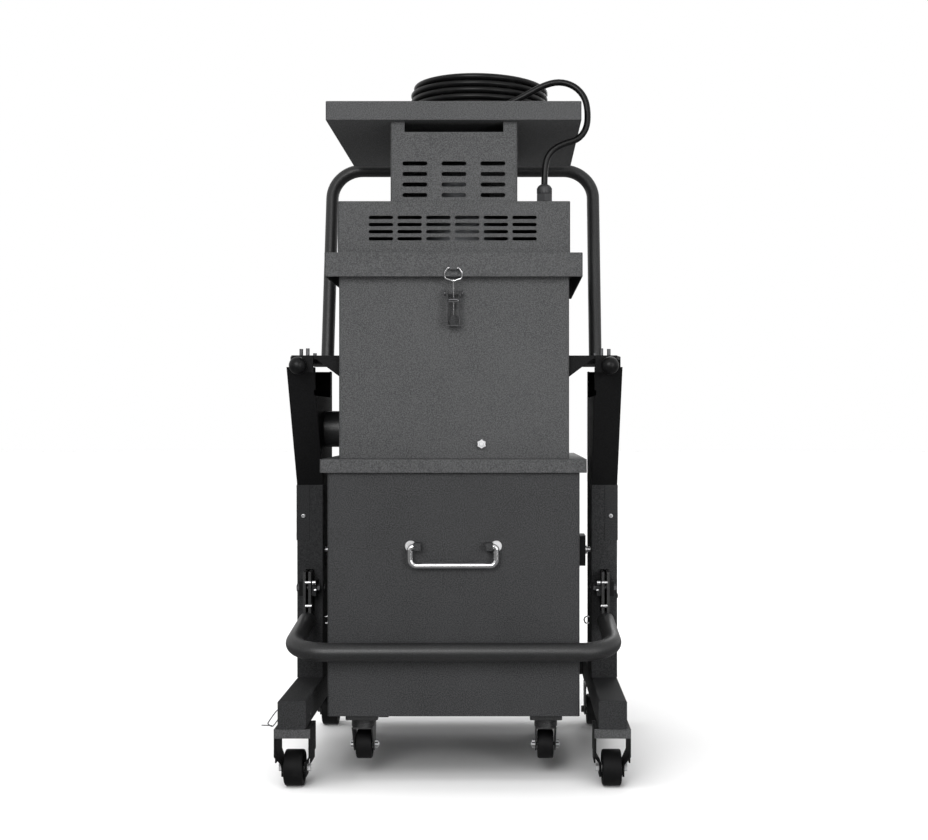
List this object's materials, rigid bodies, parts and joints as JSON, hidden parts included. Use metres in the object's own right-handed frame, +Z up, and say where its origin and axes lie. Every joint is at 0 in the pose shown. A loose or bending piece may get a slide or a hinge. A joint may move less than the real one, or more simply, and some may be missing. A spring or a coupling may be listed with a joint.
{
  "type": "industrial dust extractor",
  "caption": "Upright industrial dust extractor with a motor head and filter chamber over a roll-out dust bin that a foot bar lifts, on a castor frame with a push handle and a coiled mains cord.",
  "frame": {"origin": "middle of the outer box on the floor, below the chamber", "axes": "+Z up, -Y the front that faces the user with the bin handle, +X to the right seen from the front"},
  "size_m": [0.7672, 0.6785, 1.5579],
  "materials": {
    "charcoal_coat": "fine mottled charcoal powder coat on sheet steel",
    "bin_coat": "darker charcoal powder coat on the bin",
    "black_coat": "black satin powder coat on tube and plate",
    "bright_steel": "polished plated rod",
    "zinc_steel": "bright zinc plate",
    "castor_steel": "dark plated pressed steel",
    "wheel_rubber": "matt black wheel rubber",
    "seal_rubber": "black sponge seal",
    "cord_rubber": "satin black cable sheath",
    "black_plastic": "moulded black plastic",
    "gloss_ball": "polished black ball",
    "filter_cloth": "pleated white filter cloth",
    "motor_metal": "cast and turned motor metal"
  },
  "bodies": {
    "frame": {"foot_tubes": "black_coat", "foot_end_caps": "black_plastic", "rear_crossbeam": "black_coat", "post_left": "black_coat", "post_right": "black_coat", "arm_left": "black_coat", "arm_right": "black_coat", "side_brackets": "charcoal_coat", "push_handle": "black_coat", "front_castor_brackets": "charcoal_coat", "front_axles": "zinc_steel", "rear_castor_plates": "castor_steel", "bolts": "zinc_steel", "collar": "charcoal_coat", "chamber": "charcoal_coat", "inlet_pipe": "black_coat", "filter_plate": "charcoal_coat", "filter_cartridge": "filter_cloth", "lid_seal": "seal_rubber", "bin_seal": "seal_rubber", "lid_pan": "charcoal_coat", "lower_housing": "charcoal_coat", "upper_housing": "charcoal_coat", "tray": "charcoal_coat", "tray_base": "charcoal_coat", "motor_drum": "motor_metal", "motor_body": "motor_metal", "latch_base": "charcoal_coat", "latch_hook": "charcoal_coat", "gland": "black_plastic", "cord_lead": "cord_rubber", "cord_coil": "cord_rubber", "plug": "black_plastic"},
    "bin": {"bin": "bin_coat", "bin_brackets": "bin_coat", "bail_sockets": "zinc_steel", "bin_castor_plates": "castor_steel", "bin_rear_forks": "castor_steel"},
    "foot_bar": {"foot_bar": "black_coat"},
    "lift_pegs": {"lift_pegs": "zinc_steel"},
    "bail": {"bail_handle": "bright_steel"},
    "latch_lever": {"latch_lever": "charcoal_coat"},
    "latch_loop": {"latch_loop": "bright_steel"},
    "rotor": {"rotor": "motor_metal"},
    "lock_pin": {"lock_pin": "zinc_steel"},
    "ball_knob_left": {"ball_knob_left": "gloss_ball"},
    "rear_fork_left": {"rear_fork_left": "castor_steel"},
    "bin_fork_left": {"bin_fork_left": "castor_steel"},
    "front_wheel_left": {"front_wheel_left": "wheel_rubber"},
    "rear_wheel_left": {"rear_wheel_left": "wheel_rubber"},
    "bin_front_wheel_left": {"bin_front_wheel_left": "wheel_rubber"},
    "bin_rear_wheel_left": {"bin_rear_wheel_left": "wheel_rubber"},
    "ball_knob_right": {"ball_knob_right": "gloss_ball"},
    "rear_fork_right": {"rear_fork_right": "castor_steel"},
    "bin_fork_right": {"bin_fork_right": "castor_steel"},
    "front_wheel_right": {"front_wheel_right": "wheel_rubber"},
    "rear_wheel_right": {"rear_wheel_right": "wheel_rubber"},
    "bin_front_wheel_right": {"bin_front_wheel_right": "wheel_rubber"},
    "bin_rear_wheel_right": {"bin_rear_wheel_right": "wheel_rubber"}
  },
  "joints": [
    {"name": "bin_lift", "type": "slide", "parent": "frame", "child": "bin", "axis": [0, 0, 1], "range_m": [-0.03, 0]},
    {"name": "foot_bar_swing", "type": "hinge", "parent": "frame", "child": "foot_bar", "pos_m": [0, -0.0875, 0.398], "axis": [-1, 0, 0], "range_deg": [0, 30]},
    {"name": "lift_peg_slide", "type": "slide", "parent": "frame", "child": "lift_pegs", "axis": [0, 0, 1], "range_m": [-0.03, 0]},
    {"name": "bail_swing", "type": "hinge", "parent": "bin", "child": "bail", "pos_m": [0, -0.2775, 0.5088], "axis": [-1, 0, 0], "range_deg": [0, 95]},
    {"name": "latch_lever_swing", "type": "hinge", "parent": "frame", "child": "latch_lever", "pos_m": [0, -0.2525, 1.053], "axis": [-1, 0, 0], "range_deg": [0, 80]},
    {"name": "latch_loop_swing", "type": "hinge", "parent": "latch_lever", "child": "latch_loop", "pos_m": [0, -0.2565, 1.036], "axis": [-1, 0, 0], "range_deg": [-71, 0]},
    {"name": "rotor_spin", "type": "hinge", "parent": "frame", "child": "rotor", "pos_m": [0, 0.007, 1.2], "axis": [0, 0, 1], "continuous": true},
    {"name": "lock_pin_pull", "type": "slide", "parent": "frame", "child": "lock_pin", "axis": [-1, 0, 0], "range_m": [0, 0.08]},
    {"name": "ball_knob_pull_left", "type": "slide", "parent": "frame", "child": "ball_knob_left", "axis": [0, -1, 0], "range_m": [0, 0.02], "stiffness_N_per_m": 600},
    {"name": "front_wheel_spin_left", "type": "hinge", "parent": "frame", "child": "front_wheel_left", "pos_m": [-0.338, -0.2775, 0.038], "axis": [1, 0, 0], "continuous": true},
    {"name": "rear_swivel_left", "type": "hinge", "parent": "frame", "child": "rear_fork_left", "pos_m": [-0.338, 0.2735, 0.1], "axis": [0, 0, 1], "continuous": true},
    {"name": "rear_wheel_spin_left", "type": "hinge", "parent": "rear_fork_left", "child": "rear_wheel_left", "pos_m": [-0.338, 0.3015, 0.038], "axis": [1, 0, 0], "continuous": true},
    {"name": "bin_swivel_left", "type": "hinge", "parent": "bin", "child": "bin_fork_left", "pos_m": [-0.1995, -0.2115, 0.12], "axis": [0, 0, 1], "continuous": true},
    {"name": "bin_front_wheel_spin_left", "type": "hinge", "parent": "bin_fork_left", "child": "bin_front_wheel_left", "pos_m": [-0.1995, -0.1785, 0.0645], "axis": [1, 0, 0], "continuous": true},
    {"name": "bin_rear_wheel_spin_left", "type": "hinge", "parent": "bin", "child": "bin_rear_wheel_left", "pos_m": [-0.1995, 0.2285, 0.0645], "axis": [1, 0, 0], "continuous": true},
    {"name": "ball_knob_pull_right", "type": "slide", "parent": "frame", "child": "ball_knob_right", "axis": [0, -1, 0], "range_m": [0, 0.02], "stiffness_N_per_m": 600},
    {"name": "front_wheel_spin_right", "type": "hinge", "parent": "frame", "child": "front_wheel_right", "pos_m": [0.338, -0.2775, 0.038], "axis": [1, 0, 0], "continuous": true},
    {"name": "rear_swivel_right", "type": "hinge", "parent": "frame", "child": "rear_fork_right", "pos_m": [0.338, 0.2735, 0.1], "axis": [0, 0, 1], "continuous": true},
    {"name": "rear_wheel_spin_right", "type": "hinge", "parent": "rear_fork_right", "child": "rear_wheel_right", "pos_m": [0.338, 0.3015, 0.038], "axis": [1, 0, 0], "continuous": true},
    {"name": "bin_swivel_right", "type": "hinge", "parent": "bin", "child": "bin_fork_right", "pos_m": [0.1995, -0.2115, 0.12], "axis": [0, 0, 1], "continuous": true},
    {"name": "bin_front_wheel_spin_right", "type": "hinge", "parent": "bin_fork_right", "child": "bin_front_wheel_right", "pos_m": [0.1995, -0.1785, 0.0645], "axis": [1, 0, 0], "continuous": true},
    {"name": "bin_rear_wheel_spin_right", "type": "hinge", "parent": "bin", "child": "bin_rear_wheel_right", "pos_m": [0.1995, 0.2285, 0.0645], "axis": [1, 0, 0], "continuous": true}
  ],
  "couplings": [
    {"joint": "foot_bar_swing", "follows": "bin_lift", "rad_per_m": -17.45},
    {"joint": "lift_peg_slide", "follows": "bin_lift", "ratio": 1},
    {"joint": "latch_loop_swing", "follows": "latch_lever_swing", "ratio": -0.88}
  ]
}
